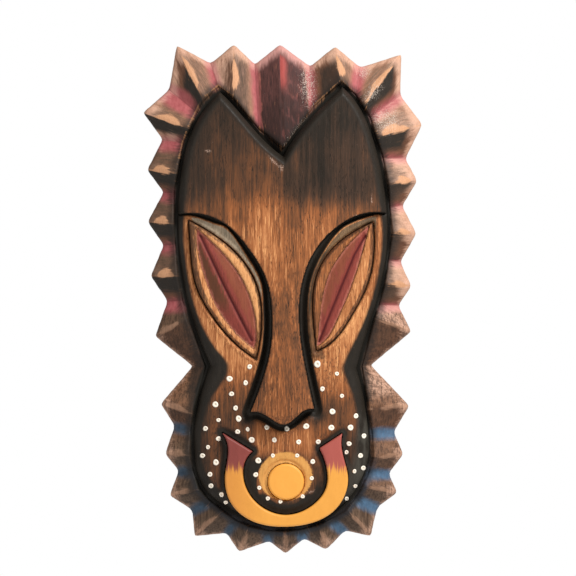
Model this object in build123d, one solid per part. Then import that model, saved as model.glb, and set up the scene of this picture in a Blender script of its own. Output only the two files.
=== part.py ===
from build123d import *
import math
import os

# Wall mask, 508 mm tall, built up from shaped wooden pieces on a spiked backing board.
#
# Frame: +X right, +Z up, the face looks along -Y. The origin is the point on the wall
# where the nail stands, and the back of the board lies on the wall plane, Y = 0.
# Heights below are distances in front of that plane, so a height h is Y = -h.
# All sizes are millimetres.

# ---- driving dimensions ---------------------------------------------------------
LAND = 18.0            # flat of the backing board that the face pieces are glued to
TIP_HEIGHT = 12.0      # board thickness at a ray's point
NOTCH_HEIGHT = 10.0    # and in the notch between two rays
RIDGE_HEIGHT = 26.0    # a ray's ridge where it meets the face
VALLEY_HEIGHT = 19.0   # a valley where it meets the face
CHEEK_TOP = 36.0       # crest of the cheek panel
BROW_TOP = 43.0        # crest of the forehead
NOSE_TOP = 54.0        # tip of the nose, the deepest point of the mask
NOSE_START, NOSE_END = -95.0, -273.5   # where it leaves the forehead, and its foot
NOSE_SINK = 1.0        # the nose starts this far below the forehead's crest
NOSE_TURN = 9.0        # its tip rolls over within this height of its foot
NOSE_ROLL = 3.0        # and drops by this much
FACE_CURVE = 380.0     # radius of the crown across the cheeks and the forehead
BAR_LENGTH = 1000.0    # longer than the mask, for the bars that crown a piece

RING_SEAT = 27.0       # floor of the housing that the nose ring is glued into
RING_TOP = 40.0
MUZZLE_RADIUS = 37.0   # round swelling of the muzzle inside the ring
MUZZLE_TOP = 38.0
MUZZLE_SPHERE = 85.0
DISC_RADIUS = 18.0
DISC_SEAT = 31.0
DISC_TOP = 40.5
MOUTH = (2.0, -330.0)  # centre of the muzzle and of the disc

RIM_TOP = 32.5         # flat rim round an eye's lens
LENS_TOP = 36.0        # crest of the lens, along the slit
LENS_CURVE = 150.0     # crown of the lens across its width
SLIT_WIDTH = 1.6
SLIT_DEPTH = 4.0

DOT_HEIGHT = 0.8       # how far a bead of paint stands proud
SMALL, MIDDLE, LARGE = 2.2, 2.6, 3.1  # radii of the beads

# ---- hanger ----------------------------------------------------------------------
POCKET_WIDTH, POCKET_TOP, POCKET_FOOT, POCKET_DEPTH = 27.0, 10.0, -47.0, 8.0
POCKET_CORNER = 5.0
WIRE = 1.2             # radius of the ring's wire
RING_REACH = 16.2      # from the hinge to the wire's centre at the top of the ring
RING_HALF = 8.2        # half width of the ring, to the wire's centre
RING_BEND = 1.8        # bend radius at the ring's lower corners
HINGE_Z = -13.0
EYE_BORE = 1.3         # strap's eye round the wire
STRAP = 1.0            # thickness of the strap's sheet steel
STRAP_WIDTH, STRAP_FOOT = 11.0, -43.0
HINGE_Y = -POCKET_DEPTH + EYE_BORE + STRAP
SCREW_Z = (-23.5, -36.5)
SCREW_HEAD, SCREW_HEAD_HEIGHT, SCREW_SHANK, SCREW_LENGTH = 3.2, 1.9, 1.45, 9.5
SCREW_POINT, SCREW_POINT_RADIUS = 2.5, 0.2
DRIVE_WIDTH, DRIVE_DEPTH, DRIVE_SPAN = 0.8, 1.2, 3.6
PILOT_GAP, PILOT_EXTRA = 0.05, 0.3   # the pilot hole is this much wider and deeper
STRAP_HOLE_GAP = 0.2
STRAP_CORNER = 3.0

FRONT = (0, -1, 0)

# ---- the rays: point, foot of its ridge, notch after it, foot of that valley -----
# Clockwise as seen from the front, from the middle one at the top.
RAYS = [
    ((-4, 105), (-1, 1), (26, 83), (29, 42)),
    ((51, 103), (57, 68), (76, 82), (71, 55)),
    ((117, 95), (79, 43), (116, 54), (86, 32)),
    ((138, 25), (92.5, 12), (121, -9), (99, -9)),
    ((133, -31), (104.5, -35), (118, -56), (105.5, -58)),
    ((132, -84), (108.5, -83), (116, -112), (104, -111)),
    ((127, -136), (101, -134), (114, -155.5), (95, -155)),
    ((127, -181.5), (91, -168), (86.5, -215), (78, -216)),
    ((125, -255.5), (85, -258), (109.5, -281.5), (88, -282)),
    ((119, -304), (89.5, -307), (104.5, -323), (84.5, -322)),
    ((113, -342), (79, -335), (93, -357), (71, -347)),
    ((86.5, -385.5), (62, -359), (61, -380), (47, -368)),
    ((42, -399), (33, -374), (20, -388), (18, -378)),
    ((1.5, -403), (1, -380), (-14.5, -390.5), (-15, -379.5)),
    ((-45, -401), (-35, -375), (-57, -382.5), (-48, -369)),
    ((-89, -385.5), (-61, -360), (-91.5, -359.5), (-74, -349)),
    ((-114, -345), (-85, -338), (-105, -320), (-90.5, -320)),
    ((-118.5, -303.5), (-94, -304), (-109, -275.5), (-93, -279)),
    ((-123, -253.5), (-91, -263), (-91, -216), (-78, -216)),
    ((-128.5, -186), (-97, -168), (-116, -151), (-101.5, -150)),
    ((-133, -126), (-106, -126), (-120, -95), (-108.5, -94)),
    ((-136, -72), (-110, -74), (-120, -42.5), (-109.5, -43)),
    ((-136.5, -20), (-107, -24), (-121, 10), (-100, 7)),
    ((-140.5, 37), (-94.5, 20.5), (-114.5, 60), (-87, 37)),
    ((-107, 104), (-80.5, 49), (-73, 86), (-65, 63)),
    ((-50, 105), (-50, 51), (-29, 85), (-25, 20)),
]

# ---- outlines: each is a closed chain of smooth curves that meet at corners ------
LEFT_HORN, CLEFT, RIGHT_HORN = (-63.5, 57), (-1, -7), (58, 62)
LEFT_WAIST, RIGHT_WAIST = (-73, -215), (72, -218)
FACE = [
    [LEFT_HORN, (-42, 34), (-20, 9), CLEFT],
    [CLEFT, (17, 20), (36, 41), RIGHT_HORN],
    [RIGHT_HORN, (75, 42), (88, 12), (99, -35), (103, -84), (97, -132), (87, -168), RIGHT_WAIST],
    [RIGHT_WAIST, (79, -245), (84, -283), (84, -305), (75, -332), (50, -360), (20, -371),
     (2, -372.8), (-13, -372), (-40, -364), (-60, -354), (-80, -336), (-89, -303), (-86, -257),
     LEFT_WAIST],
    [LEFT_WAIST, (-91, -168), (-101, -125), (-105.5, -72), (-102, -21), (-92, 17), (-76, 44),
     LEFT_HORN],
]
LEFT_NOSTRIL, RIGHT_NOSTRIL = (-34, -262), (30.5, -258.5)
BROW = [
    [(-125, -70), (-112, -66), (-97, -64), (-76, -66.5), (-58, -75), (-35, -99.5), (-18, -129),
     (-12, -166), (-13.5, -197), (-24, -236), LEFT_NOSTRIL],
    [LEFT_NOSTRIL, (-22, -262.5), (-11, -269), (-1, -273.5), (8, -270), (15, -263.5), RIGHT_NOSTRIL],
    [RIGHT_NOSTRIL, (23, -224), (17, -190), (17, -140), (30, -103), (51, -79), (74, -66),
     (92, -63), (110, -65), (125, -68)],
    [(125, -68), (125, 120)],
    [(125, 120), (-125, 120)],
    [(-125, 120), (-125, -70)],
]
LEFT_EYE = [
    [(-94.5, -71), (-68, -86.5), (-43, -108), (-27, -135), (-22, -165), (-27.5, -209)],
    [(-27.5, -209), (-50, -191.5), (-71, -165.5), (-86, -138), (-92.5, -100), (-94.5, -71)],
]
RIGHT_EYE = [
    [(88, -73), (69, -82.5), (47, -100), (32.5, -124), (28, -156), (32, -201)],
    [(32, -201), (50.5, -189), (67, -165.5), (82, -136), (89, -100), (88, -73)],
]
LEFT_LENS = [
    [(-87, -79), (-85.5, -99.5), (-78.5, -127), (-69.5, -151), (-54.5, -174.5), (-29.5, -198)],
    [(-29.5, -198), (-27.5, -178.5), (-32, -153), (-43, -127), (-54.5, -110.5), (-87, -79)],
]
RIGHT_LENS = [
    [(84.5, -76), (70, -89), (57.5, -103.5), (46, -122.5), (36, -165.5), (33, -195.5)],
    [(33, -195.5), (43, -187), (53, -168.5), (63, -145.5), (76.5, -106), (84.5, -76)],
]
LEFT_SLIT = [(-83, -86), (-70, -114), (-59, -137), (-46, -163), (-32, -190)]
RIGHT_SLIT = [(81, -86), (70, -105), (56, -139), (44, -168), (35, -191)]
LEFT_POINT, RIGHT_POINT = (-62, -281), (58, -282)
LEFT_HEEL, RIGHT_HEEL = (-31, -300), (35, -297)
NOSE_RING = [
    [LEFT_POINT, (-55.5, -296), (-58.5, -325), (-51, -353.5), (-29, -370), (2.5, -374.5),
     (25, -371.5), (51, -357.5), (63.5, -328), (57, -295), RIGHT_POINT],
    [RIGHT_POINT, RIGHT_HEEL],
    [RIGHT_HEEL, (42, -315), (42, -335), (27.5, -354), (1, -363), (-26, -352), (-40, -328),
     (-38.5, -310), LEFT_HEEL],
    [LEFT_HEEL, LEFT_POINT],
]

# ---- beads of white paint: x, z, radius -------------------------------------------
BEADS = [
    # left cheek, from the nose outwards and down
    (-34, -216, MIDDLE), (-54, -228, LARGE), (-38, -232, MIDDLE), (-52, -243, MIDDLE),
    (-68, -253.5, LARGE), (-48, -257, MIDDLE), (-65, -269, SMALL), (-45, -267.5, LARGE),
    (-78, -277.5, MIDDLE), (-46, -280.5, MIDDLE), (-36, -278, SMALL), (-65, -287.5, MIDDLE),
    (-32, -288.5, LARGE), (-75.5, -296, SMALL), (-81, -304.5, MIDDLE), (-67.5, -311, LARGE),
    (-73.5, -323, MIDDLE), (-72.5, -334.5, MIDDLE), (-62, -343, MIDDLE), (-57.8, -351, SMALL),
    # upper lip
    (-17, -276, MIDDLE), (3, -277.5, MIDDLE), (22, -275, LARGE), (-9.5, -288.5, MIDDLE),
    (14.5, -290.5, MIDDLE), (34, -290.5, MIDDLE),
    # round the mouth
    (-11, -304, SMALL), (13, -304, SMALL), (28.5, -310, MIDDLE), (-25.5, -309, LARGE),
    (-28, -323, MIDDLE), (-24.5, -336, SMALL), (-16, -346.5, SMALL), (-3.5, -349.5, SMALL),
    (18.5, -344.5, SMALL), (27.5, -326.5, SMALL),
    # right cheek
    (33, -213.5, 3.6), (52.5, -223, SMALL), (38, -238, MIDDLE), (57.5, -245, SMALL),
    (48, -260.5, LARGE), (71.5, -265, MIDDLE), (47, -276.5, LARGE), (66, -276.5, LARGE),
    (79.5, -285, MIDDLE), (64.5, -292.5, MIDDLE), (62, -301, SMALL), (76, -304.5, MIDDLE),
    (79, -317, MIDDLE), (70, -320, SMALL), (71, -335, SMALL), (62.5, -347.5, SMALL),
]


def outline(chains):
    """The face inside a closed chain of curves; a chain of two points is a straight line."""
    edges = []
    for points in chains:
        if len(points) == 2:
            edges.append(Edge.make_line(points[0], points[1]))
        else:
            edges.append(Edge.make_spline(points))
    return Face(Wire(edges))


def prism(face, low, high):
    """The outline as a block between two heights in front of the wall."""
    return extrude(Plane.XZ.offset(low) * face, high - low, dir=FRONT)


def crown(top, radius, centre_x=0.0):
    """A long round bar, standing up, whose front touches the height `top` at centre_x."""
    return Pos(centre_x, radius - top, 0) * Cylinder(radius, BAR_LENGTH)


def at(point, height):
    return (point[0], -height, point[1])


def backing_board():
    """The rays, folded like a pleated collar, round a flat land, all in flat facets."""
    faces = []

    def facet(*corners):
        faces.append(Face(Wire.make_polygon(corners, close=True)))

    points = []      # outer edge, alternately a ray's point and a notch
    for tip, ridge, notch, valley in RAYS:
        points.append((tip, ridge, TIP_HEIGHT, RIDGE_HEIGHT))
        points.append((notch, valley, NOTCH_HEIGHT, VALLEY_HEIGHT))
    for index, (outer, inner, low, high) in enumerate(points):
        outer_2, inner_2, low_2, high_2 = points[(index + 1) % len(points)]
        if high > high_2:      # from a ridge down to the next valley
            facet(at(outer, low), at(outer_2, low_2), at(inner, high))
            facet(at(inner, high), at(outer_2, low_2), at(inner_2, high_2))
        else:                  # from a valley up to the next ridge
            facet(at(outer, low), at(outer_2, low_2), at(inner_2, high_2))
            facet(at(outer, low), at(inner_2, high_2), at(inner, high))
        facet(at(outer, 0), at(outer_2, 0), at(outer_2, low_2), at(outer, low))
        facet(at(inner, LAND), at(inner_2, LAND), at(inner_2, high_2), at(inner, high))
    facet(*[at(outer, 0) for outer, _, _, _ in points])
    facet(*[at(inner, LAND) for _, inner, _, _ in points])
    board = Solid(Shell(faces))

    pocket_z = (POCKET_TOP + POCKET_FOOT) / 2
    pocket = RectangleRounded(POCKET_WIDTH, POCKET_TOP - POCKET_FOOT, POCKET_CORNER)
    board -= extrude(Plane.XZ * (Pos(0, pocket_z) * pocket), POCKET_DEPTH)
    for z in SCREW_Z:
        foot = -POCKET_DEPTH - SCREW_LENGTH - PILOT_EXTRA
        board -= rod((0, -POCKET_DEPTH, z), (0, foot, z), SCREW_SHANK + PILOT_GAP)
    return board


def rod(start, end, radius):
    """A round bar between two points."""
    axis = Vector(end) - Vector(start)
    return extrude(Plane(start, z_dir=axis) * Circle(radius), axis.length)


def brow_and_nose(brow):
    """Forehead and nose in one piece: a crowned brow, and a nose that rises to its tip."""
    forehead = prism(brow, LAND, BROW_TOP) & crown(BROW_TOP, FACE_CURVE)
    profile = Plane.YZ * make_face(Polyline(
        (-LAND, NOSE_START),
        (-BROW_TOP + NOSE_SINK, NOSE_START),
        (-NOSE_TOP, NOSE_END + NOSE_TURN),
        (-NOSE_TOP + NOSE_ROLL, NOSE_END - 1),
        (-LAND, NOSE_END - 1),
        close=True))
    nose = prism(brow, LAND, NOSE_TOP) & extrude(profile, NOSE_TOP, both=True)
    return forehead + nose


def cheek_panel(face, brow, eyes, ring, disc):
    """Cheeks and muzzle in one piece, cut out for everything that is set into it."""
    panel = prism(face, LAND, CHEEK_TOP) & crown(CHEEK_TOP, FACE_CURVE)
    swell = prism(Pos(*MOUTH) * Face(Wire.make_circle(MUZZLE_RADIUS)), LAND, MUZZLE_TOP)
    swell &= Pos(MOUTH[0], MUZZLE_SPHERE - MUZZLE_TOP, MOUTH[1]) * Sphere(MUZZLE_SPHERE)
    panel += swell
    for glued in (brow, *eyes):
        panel -= prism(glued, LAND, NOSE_TOP)
    panel -= prism(ring, RING_SEAT, NOSE_TOP)
    panel -= prism(disc, DISC_SEAT, NOSE_TOP)
    return panel


def eye_block(eye, lens, slit):
    """An almond block with a flat rim, a crowned lens and a knife-cut slit along it."""
    (top_x, top_z), (foot_x, foot_z) = slit[0], slit[-1]
    lean = math.degrees(math.atan2(top_x - foot_x, top_z - foot_z))
    middle = Pos((top_x + foot_x) / 2, LENS_CURVE - LENS_TOP, (top_z + foot_z) / 2)
    bar = middle * Rot(0, lean, 0) * Cylinder(LENS_CURVE, BAR_LENGTH)
    block = prism(eye, LAND, RIM_TOP) + (prism(lens, LAND, LENS_TOP) & bar)
    cuts = []
    for start, end in zip(slit, slit[1:]):
        angle = math.degrees(math.atan2(end[1] - start[1], end[0] - start[0]))
        centre = Pos((start[0] + end[0]) / 2, (start[1] + end[1]) / 2)
        cuts.append(centre * Rot(0, 0, angle) * SlotCenterToCenter(math.dist(start, end), SLIT_WIDTH))
    return block - prism(Sketch() + cuts, LENS_TOP - SLIT_DEPTH, NOSE_TOP)


def paint_beads(panel):
    """Round beads of paint that follow the panel's surface."""
    rounds = [prism(Pos(x, z) * Face(Wire.make_circle(r)), LAND, NOSE_TOP) for x, z, r in BEADS]
    lifted = Pos(0, -DOT_HEIGHT, 0) * panel
    beads = []
    for each in rounds:
        bead = (each & lifted) - panel
        beads.append(max(bead.solids(), key=lambda solid: solid.volume))
    return Compound(children=beads)


def hanger_ring():
    """A wire bent to a D, its straight side in the strap's eye."""
    top_z = HINGE_Z + RING_REACH - RING_HALF
    low_left, low_right = (-RING_HALF, HINGE_Z), (RING_HALF, HINGE_Z)
    top_left, top_right = (-RING_HALF, top_z), (RING_HALF, top_z)
    half = Polyline((0, HINGE_Z), low_right, top_right)
    half = fillet(half.vertices().group_by(Axis.Y)[0].sort_by(Axis.X)[-1:], RING_BEND)
    arc = ThreePointArc(top_right, (0, HINGE_Z + RING_REACH), top_left)
    other_half = mirror(half, about=Plane.YZ)
    path = Wire([*half.edges(), *arc.edges(), *other_half.edges()])
    path = Plane.XZ.offset(-HINGE_Y) * path
    start = Plane(origin=(0, HINGE_Y, HINGE_Z), z_dir=(1, 0, 0))
    return sweep(start * Circle(WIRE), path=path)


def hanger_strap():
    """A strip of sheet steel folded round the ring's straight side, its two ends together."""
    outer = EYE_BORE + STRAP
    half = STRAP_WIDTH / 2
    eye = rod((-half, HINGE_Y, HINGE_Z), (half, HINGE_Y, HINGE_Z), outer)
    legs = Pos(0, -POCKET_DEPTH + STRAP, (HINGE_Z + STRAP_FOOT) / 2) * Box(
        STRAP_WIDTH, 2 * STRAP, HINGE_Z - STRAP_FOOT)
    strap = eye + legs
    strap -= rod((-half - 1, HINGE_Y, HINGE_Z), (half + 1, HINGE_Y, HINGE_Z), EYE_BORE)
    for z in SCREW_Z:
        strap -= rod((0, 0, z), (0, -POCKET_DEPTH - 1, z), SCREW_SHANK + STRAP_HOLE_GAP)
    corners = strap.edges().filter_by(Axis.Y).group_by(Axis.Z)[0]
    return fillet(corners, STRAP_CORNER)


def hanger_screws():
    """Two round-headed wood screws with a cross slot."""
    under_head = -POCKET_DEPTH + 2 * STRAP
    screws = []
    for z in SCREW_Z:
        head = rod((0, under_head, z), (0, under_head + SCREW_HEAD_HEIGHT, z), SCREW_HEAD)
        head = fillet(head.edges().sort_by(Axis.Y)[-1:], SCREW_HEAD_HEIGHT * 0.8)
        for turn in (0, 90):
            slot = Rot(0, turn, 0) * Box(DRIVE_WIDTH, 2 * DRIVE_DEPTH, DRIVE_SPAN)
            head -= Pos(0, under_head + SCREW_HEAD_HEIGHT, z) * slot
        end = -POCKET_DEPTH - SCREW_LENGTH
        shank = rod((0, under_head, z), (0, end + SCREW_POINT, z), SCREW_SHANK)
        cone = Rot(90, 0, 0) * Cone(SCREW_SHANK, SCREW_POINT_RADIUS, SCREW_POINT)
        point = Pos(0, end + SCREW_POINT / 2, z) * cone
        screws.append(head + shank + point)
    return Compound(children=[screw.solids()[0] for screw in screws])


def main():
    os.makedirs("parts", exist_ok=True)
    face = outline(FACE)
    brow = (face & outline(BROW)).faces()[0]
    left_eye, right_eye, ring = outline(LEFT_EYE), outline(RIGHT_EYE), outline(NOSE_RING)
    disc = Pos(*MOUTH) * Face(Wire.make_circle(DISC_RADIUS))
    panel = cheek_panel(face, brow, (left_eye, right_eye), ring, disc)
    parts = {
        "backing_board": backing_board(),
        "brow_and_nose": brow_and_nose(brow),
        "cheek_panel": panel,
        "left_eye": eye_block(left_eye, outline(LEFT_LENS), LEFT_SLIT),
        "right_eye": eye_block(right_eye, outline(RIGHT_LENS), RIGHT_SLIT),
        "nose_ring": prism(ring, RING_SEAT, RING_TOP),
        "mouth_disc": prism(disc, DISC_SEAT, DISC_TOP),
        "paint_beads": paint_beads(panel),
        "hanger_ring": hanger_ring(),
        "hanger_strap": hanger_strap(),
        "hanger_screws": hanger_screws(),
    }
    for name, shape in parts.items():
        export_step(shape, f"parts/{name}.step")


main()
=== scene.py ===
import math
from types import SimpleNamespace

import bpy
import numpy as np
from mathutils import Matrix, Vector


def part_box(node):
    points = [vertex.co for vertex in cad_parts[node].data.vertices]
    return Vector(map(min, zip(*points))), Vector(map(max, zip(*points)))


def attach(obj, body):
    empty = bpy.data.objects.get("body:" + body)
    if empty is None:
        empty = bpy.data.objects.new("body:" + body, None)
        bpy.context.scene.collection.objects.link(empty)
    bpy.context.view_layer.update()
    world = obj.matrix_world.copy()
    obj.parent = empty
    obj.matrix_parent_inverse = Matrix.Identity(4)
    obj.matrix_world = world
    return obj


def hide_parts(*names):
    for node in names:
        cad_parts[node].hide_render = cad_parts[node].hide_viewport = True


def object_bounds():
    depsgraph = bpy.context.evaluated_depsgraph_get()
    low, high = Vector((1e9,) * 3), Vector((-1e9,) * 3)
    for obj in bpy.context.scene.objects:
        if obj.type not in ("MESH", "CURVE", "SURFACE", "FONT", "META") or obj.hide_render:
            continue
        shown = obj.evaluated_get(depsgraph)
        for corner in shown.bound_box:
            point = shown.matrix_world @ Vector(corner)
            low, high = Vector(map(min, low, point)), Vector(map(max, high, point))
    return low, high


# A painted wooden wall mask: carved surfaces, worn paint and a steel hanger round the CAD model.
# Lengths are in mm unless they are given to Blender. Heights are measured forward from the wall.
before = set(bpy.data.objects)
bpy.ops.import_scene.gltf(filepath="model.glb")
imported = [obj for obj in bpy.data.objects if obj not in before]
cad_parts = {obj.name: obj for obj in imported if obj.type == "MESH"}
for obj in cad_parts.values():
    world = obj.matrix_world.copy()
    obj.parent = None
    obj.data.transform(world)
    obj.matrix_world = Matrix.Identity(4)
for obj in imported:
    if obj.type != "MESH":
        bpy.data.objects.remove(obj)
cad_low, cad_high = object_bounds()

MM = 0.001
MIDDLE_Z = (cad_low.z + cad_high.z) / 2 / MM  # middle of the mask's height
LAND = 18.0  # the board's flat land under the face
RING_SEAT, RING_TOP = 27.0, 39.6
DISC_SEAT, DISC_TOP = 31.0, 40.3
SLIT_FLOOR, RIM = 32.0, 32.5  # bottom of the cut along each eye, and the eye's flat rim
CHEEK, BROW, NOSE_TIP = 36.0, 43.0, 54.0
CROWN = 760.0  # twice the radius of the crowned forehead and cheeks
MUZZLE, MUZZLE_R, MUZZLE_SPHERE = 38.0, 37.0, 85.0
RECESS_R = 19.3  # ring-shaped dip round the mouth disc
GROOVE = 19.3  # bottom of the black groove round the face
TOUCHING = 0.75  # outlines closer than this share an edge
SLAB = 8.0  # thickness of a piece before its front is carved


# ---- noise and smooth steps
def step(x, low, high):
    """0 below low, 1 above high and smooth between; low may be above high."""
    t = np.clip((x - low) / (high - low), 0.0, 1.0)
    return t * t * (3 - 2 * t)


def bell(x, centre, width):
    return np.exp(-((x - centre) / width) ** 2)


def hashed(i, j, seed):
    v = np.sin(i * 127.1 + j * 311.7 + seed * 74.7) * 43758.5453
    return v - np.floor(v)


def value_noise(x, y, seed):
    """Smooth noise from -1 to 1 with one bump per unit."""
    i, j = np.floor(x), np.floor(y)
    u, v = step(x - i, 0, 1), step(y - j, 0, 1)
    low = hashed(i, j, seed) * (1 - u) + hashed(i + 1, j, seed) * u
    high = hashed(i, j + 1, seed) * (1 - u) + hashed(i + 1, j + 1, seed) * u
    return 2 * (low * (1 - v) + high * v) - 1


def fractal(x, y, seed, octaves=3):
    total, size, reach = 0.0, 1.0, 0.0
    for k in range(octaves):
        total = total + value_noise(x * 2 ** k, y * 2 ** k, seed + k) * size
        reach += size
        size *= 0.5
    return total / reach


# ---- outlines of the CAD nodes
def places(obj):
    """The object's mesh points in mm."""
    return np.array([v.co for v in obj.data.vertices]) / MM


def flat_part(node, height):
    """Corners and faces of a CAD node that lie in the plane `height` mm in front of the wall."""
    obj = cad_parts[node]
    keys, corner, faces = {}, [], []
    for place in np.round(places(obj), 3):
        corner.append(keys.setdefault(tuple(place), len(keys)))
    points = np.array(list(keys))
    for poly in obj.data.polygons:
        loop = [corner[v] for v in poly.vertices]
        if all(abs(points[v][1] + height) < 0.004 for v in loop) and len(set(loop)) > 2:
            faces.append(loop)
    return points[:, [0, 2]], faces


def borders(faces):
    """Edges used by one face only, each in its face's direction."""
    used = dict.fromkeys(edge for loop in faces for edge in zip(loop, loop[1:] + loop[:1]))
    return [(a, b) for a, b in used if (b, a) not in used]


def outline(node, height):
    """Border segments as rows of x0, z0, x1, z1."""
    points, faces = flat_part(node, height)
    return np.array([[*points[a], *points[b]] for a, b in borders(faces)])


def chains(node, height):
    """Border loops as ordered corner arrays, longest first."""
    points, faces = flat_part(node, height)
    following = dict(borders(faces))
    loops = []
    while following:
        start, nxt = next(iter(following.items()))
        loop = [start]
        del following[start]
        while nxt != start:
            loop.append(nxt)
            nxt = following.pop(nxt)
        loops.append(points[loop])
    return sorted(loops, key=lambda p: -np.ptp(p[:, 1]))


# ---- distance maps, 1 mm apart
MAP_X = np.arange(-150.0, 150.5, 1.0)
MAP_Z = np.arange(-414.0, 116.5, 1.0)
PX, PZ = np.meshgrid(MAP_X, MAP_Z, indexing="ij")
FAR = 1e9


def distance(segments):
    best = np.full(PX.shape, FAR)
    for x0, z0, x1, z1 in segments:
        dx, dz = x1 - x0, z1 - z0
        t = np.clip(((PX - x0) * dx + (PZ - z0) * dz) / max(dx * dx + dz * dz, 1e-9), 0, 1)
        best = np.minimum(best, (PX - x0 - t * dx) ** 2 + (PZ - z0 - t * dz) ** 2)
    return np.sqrt(best)


def inside(segments):
    odd = np.zeros(PX.shape, bool)
    for x0, z0, x1, z1 in segments:
        if z0 == z1:
            continue
        crosses = (z0 > PZ) != (z1 > PZ)
        odd ^= crosses & (PX < x0 + (PZ - z0) * (x1 - x0) / (z1 - z0))
    return odd


def signed(segments):
    """Distance in mm, negative inside."""
    return np.where(inside(segments), -1, 1) * distance(segments)


def lookup(field, x, z):
    """The map's value at points, by bilinear interpolation."""
    u = np.clip(x - MAP_X[0], 0, len(MAP_X) - 1.001)
    v = np.clip(z - MAP_Z[0], 0, len(MAP_Z) - 1.001)
    i, j = u.astype(int), v.astype(int)
    u, v = u - i, v - j
    return ((field[i, j] * (1 - u) + field[i + 1, j] * u) * (1 - v)
            + (field[i, j + 1] * (1 - u) + field[i + 1, j + 1] * u) * v)


def at_middles(field, segments):
    """The map's value at the middle of each segment."""
    middles = (segments[:, :2] + segments[:, 2:]) / 2
    return lookup(field, middles[:, 0], middles[:, 1])


brow_edges = outline("brow_and_nose", LAND)
panel_edges = outline("cheek_panel", LAND)
left_eye_edges, right_eye_edges = outline("left_eye", LAND), outline("right_eye", LAND)
to_brow, to_panel = distance(brow_edges), distance(panel_edges)
to_eyes = np.minimum(distance(left_eye_edges), distance(right_eye_edges))
shared = at_middles(to_panel, brow_edges) < TOUCHING
beside = np.minimum(at_middles(to_brow, panel_edges), at_middles(to_eyes, panel_edges))
rim_edges = np.vstack([brow_edges[~shared], panel_edges[beside > TOUCHING]])
in_brow = inside(brow_edges)
in_eyes = inside(left_eye_edges) | inside(right_eye_edges)
in_face = in_brow | inside(panel_edges) | in_eyes
in_face[1:-1] |= in_face[:-2] & in_face[2:]  # points that lie on the line between two pieces


def mitre(field):
    """Keeps lines parallel to the cleft between the horns sharp where they turn its corner."""
    corners = brow_edges[~shared][:, :2]
    top = corners[(np.abs(corners[:, 0]) < 8) & (corners[:, 1] > -20)]
    tip = top[np.argmin(top[:, 1])]
    behind, nearest = np.ones(PX.shape, bool), np.zeros(PX.shape)
    for side in (-1, 1):
        arm = corners[(corners[:, 0] - tip[0]) * side > 4]
        aim = arm[np.argmin(np.abs(np.hypot(*(arm - tip).T) - 20))] - tip
        aim = aim / np.hypot(*aim)
        down = np.array([aim[1], -aim[0]]) * side
        behind &= (PX - tip[0]) * aim[0] + (PZ - tip[1]) * aim[1] < 0
        nearest = np.maximum(nearest, (PX - tip[0]) * down[0] + (PZ - tip[1]) * down[1])
    near_tip = np.hypot(PX - tip[0], PZ - tip[1]) < 40
    return np.where(behind & near_tip & (field < 0), -nearest, field)


FACE = mitre(np.where(in_face, -1, 1) * distance(rim_edges))
PLATE = np.where(in_brow, -1, 1) * distance(brow_edges[shared])
EYE = np.where(in_eyes, -1, 1) * to_eyes
RING = signed(outline("nose_ring", RING_SEAT))
DISC = signed(outline("mouth_disc", DISC_SEAT))
LENS = np.full(PX.shape, FAR)
SLIT = np.full(PX.shape, FAR)
NOSEWARD = np.zeros(PX.shape)  # distance from an eye's cut, towards the nose
for side_node in ("left_eye", "right_eye"):
    lens = chains(side_node, RIM)[-1]  # the inner loop of the flat rim
    LENS = np.minimum(LENS, signed(np.hstack([lens, np.roll(lens, -1, axis=0)])))
    cut = outline(side_node, SLIT_FLOOR)
    SLIT = np.minimum(SLIT, signed(cut))
    top, bottom = cut[np.argmax(cut[:, 1]), :2], cut[np.argmin(cut[:, 1]), :2]
    aim = (top - bottom) / np.hypot(*(top - bottom))
    across = (PX - bottom[0]) * aim[1] - (PZ - bottom[1]) * aim[0]
    NOSEWARD = np.where(PX * top[0] > 0, across * -np.sign(top[0]), NOSEWARD)
disc_low, disc_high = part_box("mouth_disc")
MOUTH_X = (disc_low.x + disc_high.x) / 2 / MM
MOUTH_Z = (disc_low.z + disc_high.z) / 2 / MM


# ---- carved surfaces
def carved(x, z, seed, size):
    """Slow unevenness left by the knife, longer along the grain."""
    return size * (fractal(x / 11.0, z / 30.0, seed) + 0.5 * fractal(x / 3.2, z / 9.0, seed + 7, 2))


def roll_off(height, inward, width):
    """Rounds a surface down to the groove at the edge of the face."""
    t = np.clip(inward / width, 0, 1)
    return GROOVE + (height - GROOVE) * np.sqrt(np.clip(1 - (1 - t) ** 2, 0, 1))


def brow_height(x, z):
    face, plate = lookup(FACE, x, z), lookup(PLATE, x, z)
    forehead = BROW - x * x / CROWN
    nose = BROW - 1 + (NOSE_TIP - BROW + 1) * step(z, -95, -265)
    nose -= (x / 15.0) ** 2 * (0.5 + 1.5 * step(z, -120, -250))
    nose -= 3.0 * step(z, -262, -274)
    blend = step(z, -80, -120)
    h = forehead * (1 - blend) + np.maximum(forehead, nose) * blend + carved(x, z, 3, 0.22)
    h -= 0.9 * np.clip(1 + plate / 1.6, 0, 1) ** 2
    return roll_off(h, -face, 7.0)


def moat_width(x, z):
    """Width of the black channel under the brow and beside the nose."""
    width = 1.6 + 2.4 * step(np.abs(x), 95, 75) + 3.8 * step(np.abs(x), 62, 34)
    beside_eye = step(z - MIDDLE_Z, -12, 20) * step(np.abs(x), 70, 56)
    return width - (0.5 + 2.3 * step(x, 5, -5)) * beside_eye


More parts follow.
